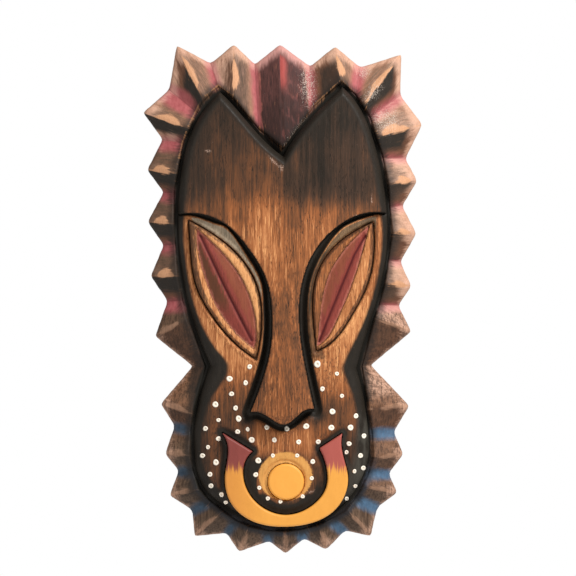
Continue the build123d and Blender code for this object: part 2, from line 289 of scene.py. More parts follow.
def panel_height(x, z):
    face, plate, eye = lookup(FACE, x, z), lookup(PLATE, x, z), lookup(EYE, x, z)
    ring, disc = lookup(RING, x, z), lookup(DISC, x, z)
    away = np.hypot(x - MOUTH_X, z - MOUTH_Z)
    swell = MUZZLE - MUZZLE_SPHERE + np.sqrt(np.maximum(MUZZLE_SPHERE ** 2 - away ** 2, 0))
    h = CHEEK - x * x / CROWN + 1.5 * step(z, -200, -250)
    h = np.where(away < MUZZLE_R + 8, np.maximum(h, swell + 1.5), h)
    moat = moat_width(x, z)
    h -= 5.0 * bell(plate, 0.3 * moat, 0.55 * moat)
    h -= 2.2 * bell(eye, 0, 1.4) - 0.9 * bell(eye, 3.2, 1.8)
    h -= 1.6 * bell(ring, 3.0, 3.5) * (disc > 2)
    h -= 1.6 * bell(np.hypot(x - MOUTH_X + 1, z - MOUTH_Z - 1.5), RECESS_R, 1.5)
    h += carved(x, z, 11, 0.36)
    h = roll_off(h, -face, 11 + 13 * step(z, -235, -290))
    h = np.where(ring < 0.4, np.minimum(h, RING_SEAT), h)
    return np.where(disc < 0.2, np.minimum(h, DISC_SEAT), h)


def eye_height(x, z):
    eye, lens, slit = lookup(EYE, x, z), lookup(LENS, x, z), lookup(SLIT, x, z)
    band = np.maximum(lens - eye, 0.5)  # width of the rim here
    across = np.clip(lens / band, 0, 1)
    rim = RIM + 0.6 + 1.5 * np.sqrt(np.clip(1 - (2 * across - 1) ** 2, 0, 1))
    dome = RIM - 0.2 + 1.9 * step(-lens, 0, 11)
    h = np.where(lens < 0, dome, rim) - 1.0 * bell(lens, 0, 1.0)
    h -= 1.8 * bell(np.maximum(slit, 0), 0, 1.2)
    h -= 2.0 * bell(eye, 0, 1.3)
    return h - x ** 2 / CROWN * 0.35 + carved(x, z, 23, 0.2)


def ring_height(x, z):
    return RING_TOP - 1.3 * np.clip(1 + lookup(RING, x, z) / 1.6, 0, 1) ** 2 + carved(x, z, 31, 0.22)


def disc_height(x, z):
    away = np.hypot(x - MOUTH_X, z - MOUTH_Z)
    edge = np.clip((away - 16.0) / 2.0, 0, 1)
    return DISC_TOP - 1.5 * edge ** 2 - (away / 18) ** 2 * 0.5 + carved(x, z, 37, 0.15)


# ---- meshes
def new_object(name, points, faces):
    """A smooth mesh from points given as x, height, z."""
    mesh = bpy.data.meshes.new(name)
    co = np.column_stack([points[:, 0], -points[:, 1], points[:, 2]]) * MM
    mesh.from_pydata(co.tolist(), [], faces)
    mesh.validate()
    mesh.shade_smooth()
    obj = bpy.data.objects.new(name, mesh)
    bpy.context.scene.collection.objects.link(obj)
    return obj


def slab(name, node, base, voxel):
    """A CAD node's outline as an evenly meshed closed slab."""
    points, faces = flat_part(node, base)
    count = len(points)
    back = np.column_stack([points[:, 0], np.full(count, base), points[:, 1]])
    front = back + [0, SLAB, 0]
    walls = [[b, a, a + count, b + count] for a, b in borders(faces)]
    lids = [[v + count for v in reversed(loop)] for loop in faces]
    obj = new_object(name, np.vstack([back, front]), faces + walls + lids)
    remesh = obj.modifiers.new("even", "REMESH")
    remesh.mode = "VOXEL"
    remesh.voxel_size = voxel * MM
    smooth = obj.modifiers.new("smooth", "SMOOTH")
    smooth.factor = 0.5
    smooth.iterations = 3
    graph = bpy.context.evaluated_depsgraph_get()
    even = bpy.data.meshes.new_from_object(obj.evaluated_get(graph))
    obj.modifiers.clear()
    obj.data = even
    return obj


def set_height(obj, base, surface):
    """Stretches a slab so that its front follows the surface. Returns x, z and 1 on the side walls."""
    co = places(obj)
    x, z = co[:, 0], co[:, 2]
    share = np.clip((-co[:, 1] - base) / SLAB, 0, 1)
    co[:, 1] = -(base + share * (surface(x, z) - base))
    obj.data.vertices.foreach_set("co", (co * MM).ravel())
    obj.data.shade_smooth()
    obj.data.update()
    return x, z, step(share, 0.93, 0.85)


def paint(obj, masks):
    """Stores one number per vertex under each name."""
    for name, values in masks.items():
        layer = obj.data.attributes.new(name, "FLOAT", "POINT")
        layer.data.foreach_set("value", np.asarray(values, np.float32))


# ---- where the stain, paint and painted shade lie
def wood_tone(x, z):
    """Brightness of the stained wood: 0 near black, 0.35 brown, 0.65 reddish tan, 1 bare tan."""
    zp = z - MIDDLE_Z
    ragged = zp + 9 * fractal(x / 5, z / 90, 61, 4)
    tone = 0.33 + 0.17 * step(ragged, 118, 84)
    tone += 0.18 * bell(x, -20, 14) * step(zp, 128, 92) * step(zp, -5, 55)
    tone += 0.04 * step(zp, 92, 50) - 0.05 * step(zp, 66, 84) * step(x, -26, -36)
    tone -= 0.08 * bell(x, 42, 14) * step(zp, 60, 76)
    tone -= 0.15 * step(x, -6, 20) * step(ragged, 78, 104) * step(x, 98, 72)
    tone += 0.10 * bell(x, 30, 14) * bell(zp, 58, 22) - 0.10 * bell(zp, -28, 50)
    tone -= 0.07 * step(zp, 140, 180) + 0.05 * bell(x, 0, 12) * step(zp, 10, 40)
    tone += 0.03 * bell(zp, 40, 30) - 0.035 * step(zp, 84, 104) - 0.06 * step(np.abs(x), 50, 90)
    return tone + 0.08 * fractal(x / 16, z / 55, 63)


def cheek_tone(x, z):
    zp, left = z - MIDDLE_Z, step(x, 5, -5)
    tone = 0.74 - 0.42 * step(zp, -52, -112)
    tone += 0.12 * step(x, 20, 40) * step(zp, -112, -80)
    tone += 0.30 * bell(x, 6, 34) * step(zp, -118, -134) * step(zp, -180, -160)
    tone -= 0.10 * step(zp, 10, 60) * step(np.abs(x), 60, 85)
    tone -= 0.22 * step(x, 72, 86) * step(zp, -24, 12)
    tone -= 0.15 * step(x, 24, 40) * step(zp, -84, -56) * step(zp, -30, -44)
    tone += 0.14 * bell(x, -22, 12) * step(zp, -118, -130)
    return tone - (0.18 - 0.12 * left) * step(np.abs(x), 40, 70) * step(zp, -120, -150)


def eye_tone(x, z):
    """The left eye's rim is palest beside the nose; the right eye's is darkest there."""
    noseward, left = step(lookup(NOSEWARD, x, z), 2, 8), step(x, 5, -5)
    return 0.74 + left * (0.08 + 0.14 * noseward) - 0.2 * (1 - left) * noseward


def smears(x, zp, marks):
    """1 in the middle of a mark, 0 outside them all; lean turns a mark's top to the left."""
    strongest = np.zeros(x.shape)
    for middle_x, middle_z, length, width, lean in marks:
        a = math.radians(lean)
        along = (zp - middle_z) * math.cos(a) - (x - middle_x) * math.sin(a)
        across = (zp - middle_z) * math.sin(a) + (x - middle_x) * math.cos(a)
        mark = np.clip(1.4 - np.hypot(along / length * 2, across / width * 2), 0, 1)
        strongest = np.maximum(strongest, mark)
    return strongest


# chips and scratches down to pale wood: middle x and height, length, width, lean in degrees
CHALK_MARKS = [(-75, 147, 9, 3.5, 80), (-10, 136, 24, 3.4, 44), (-2.5, 130, 9, 5, 5), (87, 99, 11, 2.4, 0),
               (71, 83, 5, 1.6, -70), (-8, -192, 2, 2, 0), (27, -191, 9, 3.5, -70)]
# chalky specks on the collar, in the same form
CHALK_SPOTS = [(24, 212, 52, 20, 5), (102, 178, 30, 32, 0), (88, 206, 30, 16, -40), (14, 168, 50, 9, -40),
               (80, 225, 20, 14, -30), (64, 196, 26, 10, 20)]


def soot_mask(x, zp, near, moat):
    """Black in the grooves, round the face's edge and over the jaw."""
    left = step(x, 5, -5)
    width = 4.0 + 7.0 * bell(zp, -66, 34) + 4.5 * step(zp, -90, -150)
    width += (5.0 * bell(zp, -76, 20) - 4.0 * bell(zp, -152, 30)) * left
    fade = 4.5 + 5.5 * step(zp, 60, 110) + 4 * step(zp, -40, -80)
    edge = step(-near.face, width + fade, width - 2)
    channel = step(near.plate - moat, 2.2, -1.2) * (near.plate > -0.8)
    by_ring = step(near.ring, 9 + 7 * bell(x, -46, 14), 1) * step(zp, -120, -130)
    by_disc = step(near.mouth, 21, 25) * step(zp, -188, -197)
    inner = step(near.mouth, 27, 31) * step(near.mouth, 48, 42) * step(zp, -146, -166)
    inner *= 1 - 0.5 * step(x, 18, 28) * step(zp, -196, -176)
    by_nose = (near.plate > 0) * step(near.plate, 24, 18) * step(near.eye, 0, 1.2) * step(near.eye, 12, 8)
    by_nose *= step(x, 5, 15) * step(zp, 54, 44) * step(zp, -72, -52)
    jaw = step(np.abs(x), 58, 76) * step(zp, -142, -168) * (1 - 0.62 * step(x, -30, -60))
    jaw = np.maximum(jaw, step(zp, -196, -208))
    nostrils = np.maximum(bell(np.hypot(x + 37, zp + 119), 0, 9), bell(np.hypot(x - 36, zp + 116), 0, 7))
    return np.maximum.reduce([edge, channel, by_ring, by_disc, inner, 0.6 * by_nose, 0.9 * jaw,
                              0.75 * nostrils * (near.plate > 0)])


def cuts_and_shade_mask(x, zp, near):
    """Brown lines in the knife cuts round the eyes, a painted shadow line round each lens, and painted shade
    in a band just inside each eye's edge.
    """
    cheek_side = step(near.noseward, 1, -1)
    # painted shade: a band just inside the eye's edge
    groove = 0.8 * step(near.eye, -6.2, -4.8) * step(zp, -20, 12) * step(x, 5, -5) * cheek_side
    groove = np.maximum(groove, 0.66 * step(near.eye, -4.4, -2.4)) * (near.eye < 0.5)
    return np.maximum.reduce([bell(near.eye, 0, 1.4), 0.7 * bell(near.lens, 0.3, 1.1),
                              0.75 * bell(near.eye, -2.9, 0.7) * cheek_side, groove])


def face_masks(x, z):
    zp = z - MIDDLE_Z
    maps = dict(face=FACE, plate=PLATE, ring=RING, eye=EYE, lens=LENS, slit=SLIT, noseward=NOSEWARD)
    near = SimpleNamespace(**{name: lookup(field, x, z) for name, field in maps.items()})
    near.mouth = np.hypot(x - MOUTH_X, z - MOUTH_Z)
    moat = moat_width(x, z) - 1.5 * step(zp, -104, -112) * step(np.abs(x), 34, 26)
    lid = step(near.plate - moat, 0.5, 2.5) * step(near.plate, 21, 15) * step(zp, -26, -4)
    lid *= step(near.eye, 0.5, 2.0) * step(near.eye, 16, 9) * step(np.abs(x), 96, 88)
    halo = np.hypot((x - MOUTH_X + 0.5) / 1.1, z - MOUTH_Z - 5.4)
    return dict(soot=soot_mask(x, zp, near, moat), cut=cuts_and_shade_mask(x, zp, near), lid=lid,
                halo=step(halo, 26.5, 21.5), chalk=smears(x, zp, CHALK_MARKS),
                faded=0.7 * step(x, 52, 76) * step(zp, -104, -132),
                mottle=step(x, 16, 26) * step(x, 66, 52) * step(zp, -48, -60) * step(zp, -122, -96),
                lens=near.lens, slit=near.slit, noseward=near.noseward)


# ---- the face pieces
# CAD node, height of its seat, carved surface, brightness of its stain, spacing of its mesh
FACE_PIECES = [
    ("brow_and_nose", LAND, brow_height, wood_tone, 0.95),
    ("cheek_panel", LAND, panel_height, cheek_tone, 0.95),
    ("left_eye", LAND, eye_height, eye_tone, 0.75),
    ("right_eye", LAND, eye_height, eye_tone, 0.75),
    ("nose_ring", RING_SEAT, ring_height, None, 0.8),
    ("mouth_disc", DISC_SEAT, disc_height, None, 0.8)]
pieces = {}
for node, base, surface, tone, voxel in FACE_PIECES:
    obj = pieces[node] = slab(node + "_carved", node, base, voxel)
    x, z, wall = set_height(obj, base, surface)
    if tone:
        masks = face_masks(x, z)
        paint(obj, dict(masks, soot=np.maximum(masks["soot"], wall), tone=tone(x, z)))


# ---- the pleated collar
POCKET_DEPTH = 8.0
OVAL = np.array([70.0, 195.0])  # half width and half height of the oval on the back
HUB = np.array([0.0, MIDDLE_Z])  # where the board's rings of points shrink to
LIGHT = np.array([0.42, 0.91])  # the light falls from up and to the right; facets turned to it are painted lighter, the others darker as shade
FACET_COLUMNS = 22  # columns of the mesh from a ridge to a valley
FRONT_ROWS = 28  # rows of the mesh from the rim to the face


def unit(vectors):
    return vectors / np.hypot(*vectors.T)[:, None]


def clockwise(loop):
    area = np.sum(loop[:, 0] * np.roll(loop[:, 1], -1) - np.roll(loop[:, 0], -1) * loop[:, 1])
    return loop if area < 0 else loop[::-1]


def board_corners():
    """Corners of the rim and of the land in matching order, with their heights, from a ray's point."""
    outer = clockwise(chains("backing_board", 0.0)[0])
    inner = clockwise(chains("backing_board", LAND)[0])
    gaps = [np.sum(np.hypot(*(outer - np.roll(inner, -k, axis=0)).T)) for k in range(len(outer))]
    inner = np.roll(inner, -int(np.argmin(gaps)), axis=0)
    co = places(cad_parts["backing_board"])

    def top(corners):
        return np.array([-co[np.hypot(co[:, 0] - x, co[:, 2] - z) < 0.05, 1].min() for x, z in corners])

    low, high = top(outer), top(inner)
    turn = -1 if low[0] < low[1] else 0
    return [np.roll(a, turn, axis=0) for a in (outer, inner, low, high)]


def collar_columns():
    """For each column of the mesh, its ends at the rim and the foot, and its place on its facet."""
    corners = board_corners()
    outer, inner = corners[:2]
    count = len(outer)
    sector = np.repeat(np.arange(count), FACET_COLUMNS)
    share = np.tile(np.arange(FACET_COLUMNS) / FACET_COLUMNS, count)
    following = (sector + 1) % count

    def spread(a):
        w = share[:, None] if a.ndim > 1 else share
        return a[sector] * (1 - w) + a[following] * w

    c = SimpleNamespace()
    rim, c.foot, c.rim_height, c.foot_height = (spread(a) for a in corners)
    even = sector % 2 == 0
    c.turn = np.where(even, 1.0, -1.0)
    c.valleyward = np.where(even, share, 1 - share)  # 0 at the ridge, 1 at the valley
    c.facet = np.hypot(*(outer[sector] - outer[following]).T)
    c.facet_foot = np.hypot(*(inner[sector] - inner[following]).T)
    c.inward = unit(c.foot - rim)
    rounding = bell(c.valleyward * c.facet, 0, 1.8) - bell((1 - c.valleyward) * c.facet, 0, 2)
    rim = rim + c.inward * (0.9 * rounding)[:, None]
    wobble = 0.35 * fractal(rim[:, 0] / 6, rim[:, 1] / 6, 5)
    c.rim = rim + c.inward * wobble[:, None]
    c.length = np.hypot(*(c.foot - c.rim).T)
    peak, notch = np.where(even, sector, following), np.where(even, following, sector)
    c.ray = peak // 2
    c.point = outer[peak]
    c.middle = ((np.abs(c.point[:, 0]) < 25) & (c.point[:, 1] > 0)).astype(float)
    ridge = unit(inner[peak] - c.point)
    fall = outer[notch] - c.point  # the way that the facet slopes
    fall = fall - np.sum(fall * ridge, axis=1)[:, None] * ridge
    c.lit = unit(fall) @ LIGHT
    return c


def front_rows(c):
    """Rings of points from the rim to the foot, each with the numbers that its paint follows."""
    rows = []
    for t in np.linspace(0, 1, FRONT_ROWS):
        plan = c.rim * (1 - t) + c.foot * t
        width = c.facet * (1 - t) + c.facet_foot * t
        at = dict(ridge=c.valleyward * width, valley=(1 - c.valleyward) * width, rim=t * c.length,
                  foot=(1 - t) * c.length, ray=c.ray, turn=c.turn, lit=c.lit, middle=c.middle,
                  tip=np.hypot(*(plan - c.point).T), tip_z=c.point[:, 1] - MIDDLE_Z, behind=0.0)
        h = c.rim_height * (1 - t) + c.foot_height * t
        h += 4 * t * (1 - t) * (1.6 - 1.2 * c.valleyward)
        h += 0.4 * bell(at["valley"], 0, 1.2) - 0.7 * bell(at["ridge"], 0, 1.1)
        h -= 2.2 * np.clip(1 - at["rim"] / 2.2, 0, 1) ** 2
        h -= 1.2 * np.clip(1 - at["foot"] / 1.6, 0, 1) ** 2
        h += 0.45 * fractal(plan[:, 0] / 5 + c.ray * 3.1, plan[:, 1] / 5, 9) * min(t * 8, 1)
        rows.append((plan, h, at))
    return rows


def cast(loop, aims):
    """How far each direction runs from the origin to the closed loop round it."""
    reach = np.full(len(aims), FAR)
    for start, end in zip(loop, np.roll(loop, -1, axis=0)):
        side = end - start
        cross = aims[:, 0] * side[1] - aims[:, 1] * side[0]
        cross = np.where(np.abs(cross) < 1e-9, 1e-9, cross)
        far = (start[0] * side[1] - start[1] * side[0]) / cross
        share = (start[0] * aims[:, 1] - start[1] * aims[:, 0]) / cross
        hit = (far > 0) & (share >= -1e-6) & (share <= 1 + 1e-6)
        reach = np.where(hit, np.minimum(reach, far), reach)
    return reach


def collar():
    """The board as rings of points: out from the land, over the rays, and in to the hanger's pocket."""
    c = collar_columns()
    rows = front_rows(c)
    at_rim, at_foot = rows[0][2], rows[-1][2]
    rim_height = rows[0][1]
    behind = dict(at_rim, behind=1.0)
    pocket = chains("backing_board", 0.0)[1]
    well = (pocket.min(0) + pocket.max(0)) / 2
    spoke = unit(c.rim - HUB)
    oval = HUB + spoke / np.hypot(*(spoke / OVAL).T)[:, None]
    aim = unit(oval - well)
    lip = well + aim * cast(pocket - well, aim)[:, None]
    rows += [(c.foot + c.inward * 0.7, c.foot_height - 3.2, at_foot),
             (c.foot + c.inward * 1.1, LAND + 0.6, at_foot),
             (c.foot + c.inward * 2.2, LAND, at_foot),
             (HUB + (c.foot - HUB) * 0.8, LAND, at_foot)]
    rows.reverse()
    rows += [(c.rim, rim_height * share, at_rim) for share in (0.72, 0.45, 0.2, 0.03)]
    rows += [(c.rim + c.inward * 0.7, 0.0, behind), (c.rim + c.inward * 2.5, 0.0, behind),
             (oval, 0.0, behind), (lip + aim * 2.0, 0.0, behind), (lip + aim * 0.4, 0.0, behind),
             (lip, 0.5, behind), (lip, POCKET_DEPTH, behind)]

    columns = len(c.rim)
    hubs = np.array([[HUB[0], LAND, HUB[1]], [well[0], POCKET_DEPTH, well[1]]])
    points = [np.column_stack([plan[:, 0], np.broadcast_to(h, columns), plan[:, 1]]) for plan, h, at in rows]
    numbers = {name: np.concatenate([np.broadcast_to(at[name], columns) for plan, h, at in rows] + [[0, 0]])
               for name in at_rim}
    numbers["behind"][-1] = 1.0
    faces = []
    last, land_hub = (len(rows) - 1) * columns, len(rows) * columns
    for k in range(columns):
        n = (k + 1) % columns
        for start in range(0, last, columns):
            faces.append([start + k, start + columns + k, start + columns + n, start + n])
        faces.append([land_hub, k, n])
        faces.append([last + k, land_hub + 1, last + n])
    return np.vstack(points + [hubs]), faces, numbers


def collar_masks(x, zp, at):
    """Where the collar's paints, its painted light and its painted shade lie. Fields in mm are positive
    inside their paint.
    """
    size = at.ridge + at.valley
    share = at.rim / np.maximum(at.rim + at.foot, 1)
    own = hashed(at.ray, 1.0, 3.0)  # each ray differs a little
    lit_side = step(at.lit, -0.12, 0.12)
    low = step(at.tip_z, -10, -25)  # rays below the waist
    top = step(zp, 130, 165)
    right = step(x, 60, 90) * step(zp, 118, 100)
    left = step(x, -82, -96) * step(at.tip_z, 215, 200) * step(zp, -40, -30)
    dark = left * step(at.tip_z, 180, 160)  # the sooty rays left of the face
    less_soot_and_shade = step(x, 50, 76) * step(zp, -94, -108) * step(zp, -200, -178)  # less soot, grey and painted shadow there
    # more soot round the face and more painted shadow near its foot
    sooty_and_shaded = step(x, -30, -50) * (bell(zp, -78, 24) + 0.8 * bell(zp, -190, 16))

    start, end = 0.13 + 0.12 * own + 0.06 * top - 0.14 * low, 0.74 + 0.16 * own
    leaf = np.sin(np.pi * np.clip((share - start) / (end - start), 0, 1)) ** 0.7
    lit_leaf = leaf * (6.4 + 2.2 * own) * (1 - 0.35 * low) * (1 - 0.3 * right)
    bare = np.where(lit_side > 0.5, lit_leaf, (1.6 + 0.4 * low) * leaf) - at.ridge

    begins = 2.0 + 2 * own + 8 * top + 9 * step(x, -60, -80) * top
    begins = begins * (1 - left) + 7 * right - 4 * left
    black = np.minimum(0.66 * size - at.ridge, 0.7 * (at.rim - begins))
    weight = (1 - lit_side) * (1 - 0.25 * right) * (1 - 0.7 * low)
    weight *= (1 - 0.75 * bell(x, -58, 12) * top) * (1 - 0.25 * bell(x, 52, 14) * top)
    weight = np.maximum(weight, 0.5 * bell(x, -46, 10) * top * lit_side)
    strokes = np.minimum((0.60 + 0.08 * dark) * size - at.ridge, at.rim - 8.0 + 8.0 * dark)

    valley_paint = 2.6 + 2.4 * lit_side + 2.4 * top + 2.0 * low + 5.0 * dark * lit_side
    valley_paint += 7.0 * step(x, -84, -96) * bell(zp, 198, 17) * step(at.foot, -2, 4)
    tip = step(at.tip, 26 + 8 * top - 5 * low, 5 - 3 * low) * (1 - 0.15 * low)
    worn_rim = (0.7 + 0.15 * top) * step(at.rim, 7 + 9 * top, 0)
    # painted light: lit facets on the right are paler
    painted_light = step(x, 66, 92) * step(zp, -112, -84) * (0.5 + 0.3 * step(zp, 200, 150)) * lit_side
    tan = np.maximum(bell(x, -64, 11), bell(x, -112, 9)) * top * (1 - lit_side)
    return dict(
        bare=bare, black=black, weight=weight, strokes=strokes, lit_side=lit_side, low=low, right=right,
        dark=dark, valley_paint=valley_paint - at.valley, pink=step(zp, -34, -30), blue=step(zp, -108, -118),
        arris=bell(at.foot, 1.0, 1.2) * step(zp, 120, 150) * (1 - 0.5 * step(x, 40, 70)),
        pale=np.maximum.reduce([np.maximum(tip, worn_rim) * (1 - 0.55 * dark), painted_light, 0.85 * tan]),
        chalk=0.78 * smears(x, zp, CHALK_SPOTS), shade=step(at.foot, 7.0, 1.5) * step(zp, -150, -185),
        ashen=step(zp, -112, -160) * (1 - 0.65 * less_soot_and_shade), near=at.foot - 8.0 * sooty_and_shaded + 6.0 * less_soot_and_shade,
        outside=lookup(FACE, x, zp + MIDDLE_Z) - 3.0 * sooty_and_shaded + 1.6 * less_soot_and_shade)


points, faces, numbers = collar()
board = pieces["backing_board"] = new_object("backing_board_carved", points, faces)
paint(board, numbers)
paint(board, collar_masks(points[:, 0], points[:, 2] - MIDDLE_Z, SimpleNamespace(**numbers)))


# ---- beads of paint
AROUND = 20  # corners of a bead's rings
# share of the radius and height above the cheek, from a bead's foot to the dimple left by the brush
BEAD_PROFILE = [(1.0, -0.6), (1.0, 0.15), (0.93, 0.5), (0.76, 0.80), (0.52, 0.80), (0.3, 0.36), (0.14, 0.12)]


def bead_boxes():
    """Lowest and highest corner of each bead of the CAD node."""
    co = places(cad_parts["paint_beads"])
    group = list(range(len(co)))

    def root(i):
        while group[i] != i:
            group[i] = group[group[i]]
            i = group[i]
        return i

    first = {}
    for i, place in enumerate(np.round(co, 2)):
        group[root(i)] = root(first.setdefault(tuple(place), i))
    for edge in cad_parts["paint_beads"].data.edges:
        group[root(edge.vertices[0])] = root(edge.vertices[1])
    members = {}
    for i in range(len(co)):
        members.setdefault(root(i), []).append(i)
    return [(co[part].min(0), co[part].max(0)) for part in members.values()]


def beads():
    """A dimpled dome on the carved cheek for each CAD bead."""
    points, faces, dimples = [], [], []
    for number, (low, high) in enumerate(bead_boxes()):
        x, z, radius = (low[0] + high[0]) / 2, (low[2] + high[2]) / 2, (high[0] - low[0]) / 2
        start = len(points)
        squash = 1 + 0.05 * math.sin(number * 2.4)
        for share, lift in BEAD_PROFILE:
            for k in range(AROUND):
                a = 2 * math.pi * k / AROUND
                uneven = 1 + 0.03 * math.sin(3 * a + number) + 0.03 * math.sin(2 * a + 2.3 * number)
                r = 0.94 * radius * share * uneven
                points.append([x + r * math.cos(a) * squash, lift, z + r * math.sin(a) / squash])
                dimples.append(1 - share if lift < 0.5 and share < 0.5 else 0.0)
        hub = len(points)
        points += [[x, 0.06, z], [x, -0.5, z]]
        dimples += [1.0, 0.0]
        for k in range(AROUND):
            n = (k + 1) % AROUND
            for row in range(start, hub - AROUND, AROUND):
                faces.append([row + k, row + AROUND + k, row + AROUND + n, row + n])
            faces.append([hub - AROUND + k, hub, hub - AROUND + n])
            faces.append([start + n, hub + 1, start + k])
    points = np.array(points)
    points[:, 1] += panel_height(points[:, 0], points[:, 2])
    obj = new_object("paint_beads_domed", points, faces)
    paint(obj, dict(dimple=dimples))
    return obj


pieces["paint_beads"] = beads()


# ---- materials
def linear(r, g, b):
    """A colour given as 0 to 255 screen values."""
    return tuple(((c / 255 + 0.055) / 1.055) ** 2.4 for c in (r, g, b)) + (1.0,)


def add_node(tree, kind, **inputs):
    """A new shader node, its inputs set to numbers, colours or other nodes' outputs."""
    node = tree.nodes.new("ShaderNode" + kind)
    fill(tree, node, **inputs)
    return node


def fill(tree, node, **inputs):
    """Sets a node's inputs; _ stands for a space in their names."""
    for name, value in inputs.items():
        connect(tree, node.inputs[name.replace("_", " ")], value)


def connect(tree, socket, value):
    if isinstance(value, bpy.types.NodeSocket):
        tree.links.new(value, socket)
    else:
        socket.default_value = value


class Paint:
    """A node material. Its methods add a node and return its output."""

    def __init__(self, name):
        self.material = bpy.data.materials.new(name)
        self.material.use_nodes = True
        self.tree = self.material.node_tree
        self.mm = self.stretch(self.node("TexCoord").outputs["Object"], [1 / MM] * 3)

    def node(self, kind, **inputs):
        return add_node(self.tree, kind, **inputs)

    def stretch(self, place, factors):
        node = self.node("VectorMath")
        node.operation = "MULTIPLY"
        connect(self.tree, node.inputs[0], place)
        connect(self.tree, node.inputs[1], factors)
        return node.outputs[0]

    def axis(self, name):
        """The place along X, Y or Z in mm."""
        return self.node("SeparateXYZ", Vector=self.mm).outputs[name]

    def mask(self, name, strength=None):
        node = self.node("Attribute")
        node.attribute_name = name
        return self.times(node.outputs["Fac"], strength) if strength else node.outputs["Fac"]

    def sum(self, a, b, operation="ADD", clamp=False):
        node = self.node("Math")
        node.operation = operation
        node.use_clamp = clamp
        connect(self.tree, node.inputs[0], a)
        connect(self.tree, node.inputs[1], b)
        return node.outputs[0]

    def times(self, a, b):
        return self.sum(a, b, "MULTIPLY")

    def swing(self, noise, size):
        """Noise from 0 to 1 turned into -size / 2 to size / 2."""
        return self.times(self.sum(noise, -0.5), size)

    def ragged(self, value, noise, size):
        return self.sum(value, self.swing(noise, size))

    def noise(self, x, y, z, detail=3.0, rough=0.5, where=None):
        """Noise from 0 to 1 whose blobs are about x, y and z mm long."""
        stretched = self.stretch(where or self.mm, (1 / x, 1 / y, 1 / z))
        node = self.node("TexNoise", Vector=stretched, Scale=1.0, Detail=detail, Roughness=rough)
        return node.outputs["Fac"]

    def step(self, value, low, high, out_high=1.0, out_low=0.0):
        node = self.node("MapRange", Value=value, From_Min=low, From_Max=high)
        fill(self.tree, node, To_Min=out_low, To_Max=out_high)
        node.interpolation_type = "SMOOTHSTEP"
        return node.outputs["Result"]

    def ramp(self, value, *stops):
        node = self.node("ValToRGB", Fac=value)
        elements = node.color_ramp.elements
        while len(elements) < len(stops):
            elements.new(0.5)
        for element, (position, colour) in zip(elements, stops):
            element.position = position
            element.color = linear(*colour)
        return node.outputs["Color"]

    def mix(self, share, a, b):
        node = self.node("Mix", Factor=share)
        node.data_type = "RGBA"
        for socket, value in ((node.inputs[6], a), (node.inputs[7], b)):
            connect(self.tree, socket, linear(*value) if isinstance(value, tuple) else value)
        return node.outputs[2]

    def layers(self, colour, *paints):
        """Lays paints over a colour in turn, each given as its share and its colour."""
        for share, paint in paints:
            colour = self.mix(share, colour, paint)
        return colour

    def finish(self, colour, grain, rough, smooth, height, depth, metallic=0.0, specular=0.4):
        bump = self.node("Bump", Strength=1.0, Distance=depth * MM, Height=height)
        fill(self.tree, self.tree.nodes["Principled BSDF"], Base_Color=colour, Metallic=metallic,
             Roughness=self.step(grain, 0.3, 0.7, rough, smooth), Specular_IOR_Level=specular,
             Normal=bump.outputs["Normal"])
        return self.material


WOOD = ((0.0, (34, 27, 20)), (0.2, (62, 44, 32)), (0.4, (104, 65, 40)), (0.6, (148, 88, 49)),
        (0.78, (184, 120, 74)), (1.0, (222, 160, 104)))
SOOT, GREY_SOOT = (28, 25, 20), (74, 70, 62)


def grained(p, tone):
    """Stained wood: streaks and pores along Z. Returns colour, streaks, fine grain and relief."""
    streak = p.noise(2.6, 2.6, 110, 5, 0.62)
    fine = p.noise(0.8, 0.8, 15, 4, 0.65)
    pore = p.times(p.step(p.noise(0.6, 0.6, 5, 2), 0.59, 0.66), p.step(p.noise(7, 7, 30, 2), 0.42, 0.6))
    scratch = p.step(p.noise(0.7, 0.7, 18, 2), 0.56, 0.64)
    change = p.ragged(p.swing(streak, 0.74), p.noise(9, 9, 130), 0.35)
    change = p.ragged(change, p.noise(11, 11, 26, 4, 0.6), 0.45)
    change = p.ragged(change, fine, 0.75)
    change = p.sum(change, p.times(scratch, p.step(tone, 0.42, 0.55, 0.24)))
    change = p.sum(change, p.step(tone, 0.42, 0.55, -0.03))
    shade = p.sum(tone, p.times(change, p.step(tone, 0.1, 0.5, 1.0, 0.55)))
    shade = p.sum(shade, p.times(pore, -0.3), clamp=True)
    return p.ramp(shade, *WOOD), streak, fine, p.sum(p.times(pore, -0.8), p.times(fine, 0.9))


def sooted(p, colour, streak):
    """Black brushed over a colour, with an edge broken by the grain."""
    ragged = p.ragged(p.ragged(p.mask("soot"), streak, 0.3), p.noise(5, 5, 7), 0.3)
    black = p.mix(p.noise(4, 4, 12, 4), SOOT, (44, 37, 30))
    black = p.mix(p.times(p.mask("faded"), p.step(p.noise(6, 6, 20, 4), 0.3, 0.6)), black, GREY_SOOT)
    return p.mix(p.step(ragged, 0.08, 0.86), colour, black)


def chalked(p, colour, fresh):
    """Chips and specks that show pale wood."""
    pale_share = p.ragged(p.mask("chalk"), p.noise(0.9, 0.9, 1.2, 3, 0.7), 3.6)
    return p.mix(p.step(pale_share, 0.62, 1.15, 0.6), colour, fresh)


def cuts_and_shade(p, colour, full, brown):
    # brown in the knife cuts, with the painted shade and shadow beside them
    cut = p.ragged(p.mask("cut"), p.noise(2, 2, 9, 4, 0.7), 1.3)
    return p.mix(p.step(cut, 0.25, full, 0.9), colour, brown)


